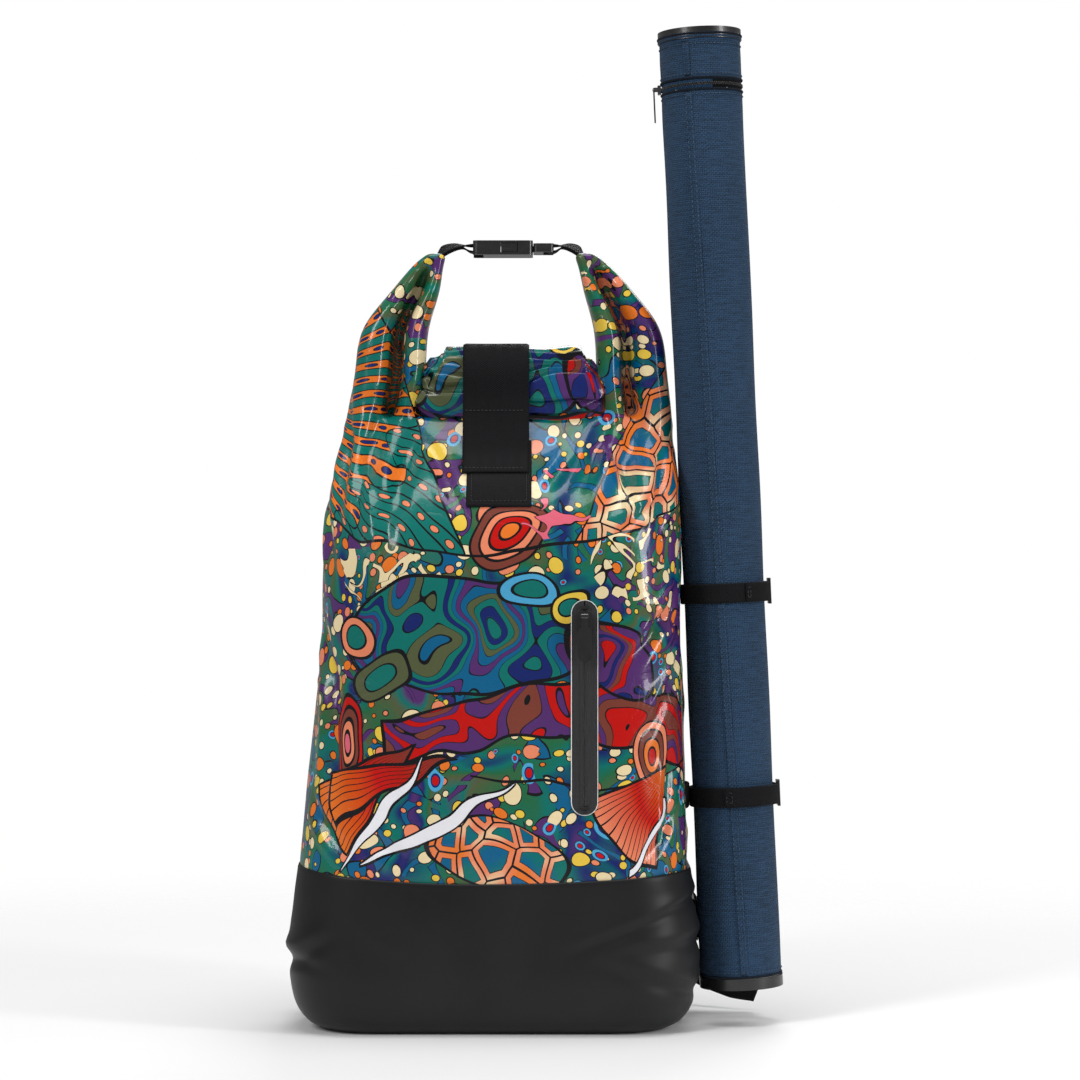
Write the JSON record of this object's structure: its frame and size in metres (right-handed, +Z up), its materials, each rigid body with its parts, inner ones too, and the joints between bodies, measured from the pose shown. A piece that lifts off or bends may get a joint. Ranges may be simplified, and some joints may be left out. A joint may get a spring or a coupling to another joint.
{
  "type": "tackle backpack",
  "caption": "Roll-top dry-bag tackle backpack with a hook-and-loop strap, an upright front zip and a zip-lid rod tube strapped to its right side.",
  "frame": {"origin": "middle of the flat underside of the bag's base, which it stands on", "axes": "+Z up; the bag's front faces -Y; +X is the side that carries the rod tube"},
  "size_m": [0.4038, 0.2486, 0.8107],
  "materials": {
    "printed_tarpaulin": "gloss",
    "black_tarpaulin": "matte",
    "black_webbing": "matte",
    "buckle_plastic": "gloss",
    "navy_cloth": "matte",
    "tube_liner": "matte",
    "cap_plastic": "gloss",
    "zip_tape": "satin",
    "zip_coil": "satin",
    "gunmetal": "gloss",
    "back_mesh": "matte",
    "stiffener_plastic": "matte"
  },
  "bodies": {
    "pack": {"adjuster_webbing_left": "black_webbing", "adjuster_webbing_right": "black_webbing", "anchor_wing_left": "black_tarpaulin", "anchor_wing_right": "black_tarpaulin", "back_pad_left": "back_mesh", "back_pad_right": "back_mesh", "back_panel": "black_tarpaulin", "base_boot": "black_tarpaulin", "body_shell": "printed_tarpaulin", "buckle_female": "buckle_plastic", "closure_anchor": "black_webbing", "closure_patch": "black_webbing", "ear_left": "printed_tarpaulin", "ear_right": "printed_tarpaulin", "front_pocket_pouch": "black_tarpaulin", "front_zip_coil": "zip_coil", "front_zip_stops": "zip_coil", "front_zip_tape": "zip_tape", "handle_webbing_left": "black_webbing", "handle_webbing_right": "black_webbing", "haul_loop": "black_webbing", "lock_web_left": "black_webbing", "lock_web_right": "black_webbing", "lumbar_pad": "back_mesh", "roll_stiffener": "stiffener_plastic", "roll_top": "printed_tarpaulin", "shoulder_strap_left": "back_mesh", "shoulder_strap_right": "back_mesh", "tube_anchor_lower": "black_webbing", "tube_anchor_upper": "black_webbing", "tube_strap_lower": "black_webbing", "tube_strap_upper": "black_webbing", "webbing_tail_left": "black_webbing", "webbing_tail_right": "black_webbing", "yoke_left": "black_tarpaulin", "yoke_right": "black_tarpaulin"},
    "buckle_male": {"buckle_male": "buckle_plastic"},
    "prong_front": {"prong_front": "buckle_plastic"},
    "prong_rear": {"prong_rear": "buckle_plastic"},
    "closure_flap": {"closure_flap": "black_webbing"},
    "front_zip_slider": {"front_zip_slider": "gunmetal"},
    "front_zip_pull": {"front_zip_pull": "gunmetal"},
    "rod_tube": {"tube_core": "tube_liner", "tube_sleeve": "navy_cloth", "tube_bottom_cap": "cap_plastic", "tube_zip_band": "zip_tape", "tube_seam": "navy_cloth"},
    "tube_lid": {"lid_core": "tube_liner", "lid_sleeve": "navy_cloth", "lid_cap": "cap_plastic"},
    "tube_zip_slider": {"tube_zip_slider": "gunmetal"},
    "tube_zip_pull": {"tube_zip_pull": "gunmetal"},
    "tri_glide_upper": {"tri_glide_upper": "buckle_plastic"},
    "tri_glide_lower": {"tri_glide_lower": "buckle_plastic"},
    "ladder_lock_left": {"ladder_lock_left": "buckle_plastic"},
    "ladder_lock_right": {"ladder_lock_right": "buckle_plastic"}
  },
  "joints": [
    {"name": "buckle_release", "type": "slide", "parent": "pack", "child": "buckle_male", "axis": [1, 0, 0], "range_m": [0, 0.026], "deforming": ["handle_webbing_right", "prong_front", "prong_rear"]},
    {"name": "prong_front_squeeze", "type": "hinge", "parent": "buckle_male", "child": "prong_front", "pos_m": [0.031, 0.00385, 0.6328], "axis": [0, 0, -1], "range_deg": [0, 7], "stiffness_Nm_per_rad": 0.2},
    {"name": "prong_rear_squeeze", "type": "hinge", "parent": "buckle_male", "child": "prong_rear", "pos_m": [0.031, 0.02615, 0.6328], "axis": [0, 0, 1], "range_deg": [0, 7], "stiffness_Nm_per_rad": 0.2},
    {"name": "closure_open", "type": "hinge", "parent": "pack", "child": "closure_flap", "pos_m": [0.001, 0.015, 0.5527], "axis": [-1, 0, 0], "range_deg": [0, 100]},
    {"name": "front_zip_run", "type": "slide", "parent": "pack", "child": "front_zip_slider", "axis": [0, 0, -1], "range_m": [0, 0.138]},
    {"name": "front_pull_swing", "type": "hinge", "parent": "front_zip_slider", "child": "front_zip_pull", "pos_m": [0.072, -0.0944, 0.334], "axis": [-1, 0, 0], "range_deg": [0, 150]},
    {"name": "rod_tube_lift", "type": "slide", "parent": "pack", "child": "rod_tube", "axis": [-0.0445, 0, 0.999], "range_m": [0, 0.3]},
    {"name": "tube_lid_open", "type": "hinge", "parent": "rod_tube", "child": "tube_lid", "pos_m": [0.1688, 0.0372, 0.76657], "axis": [-0.999, 0, -0.0445], "range_deg": [0, 110]},
    {"name": "tube_zip_run", "type": "hinge", "parent": "rod_tube", "child": "tube_zip_slider", "pos_m": [0.16894, 0.004, 0.76327], "axis": [-0.0445, 0, 0.999], "range_deg": [0, 200]},
    {"name": "tube_pull_swing", "type": "hinge", "parent": "tube_zip_slider", "child": "tube_zip_pull", "pos_m": [0.13046, 0.004, 0.76206], "axis": [0, 1, 0], "range_deg": [0, 140]},
    {"name": "tri_glide_upper_run", "type": "hinge", "parent": "pack", "child": "tri_glide_upper", "pos_m": [0.1873, 0.004, 0.351], "axis": [-0.0445, 0, 0.999], "range_deg": [-15, 15]},
    {"name": "tri_glide_lower_run", "type": "hinge", "parent": "pack", "child": "tri_glide_lower", "pos_m": [0.19465, 0.004, 0.186], "axis": [-0.0445, 0, 0.999], "range_deg": [-15, 15]},
    {"name": "ladder_lock_left_tilt", "type": "hinge", "parent": "pack", "child": "ladder_lock_left", "pos_m": [-0.086, 0.1275, 0.1826], "axis": [1, 0, 0], "range_deg": [0, 30], "deforming": ["lock_web_left", "adjuster_webbing_left", "webbing_tail_left"]},
    {"name": "ladder_lock_right_tilt", "type": "hinge", "parent": "pack", "child": "ladder_lock_right", "pos_m": [0.086, 0.1275, 0.1826], "axis": [1, 0, 0], "range_deg": [0, 30], "deforming": ["lock_web_right", "adjuster_webbing_right", "webbing_tail_right"]}
  ],
  "couplings": [
    {"joint": "prong_rear_squeeze", "follows": "prong_front_squeeze", "ratio": 1}
  ]
}
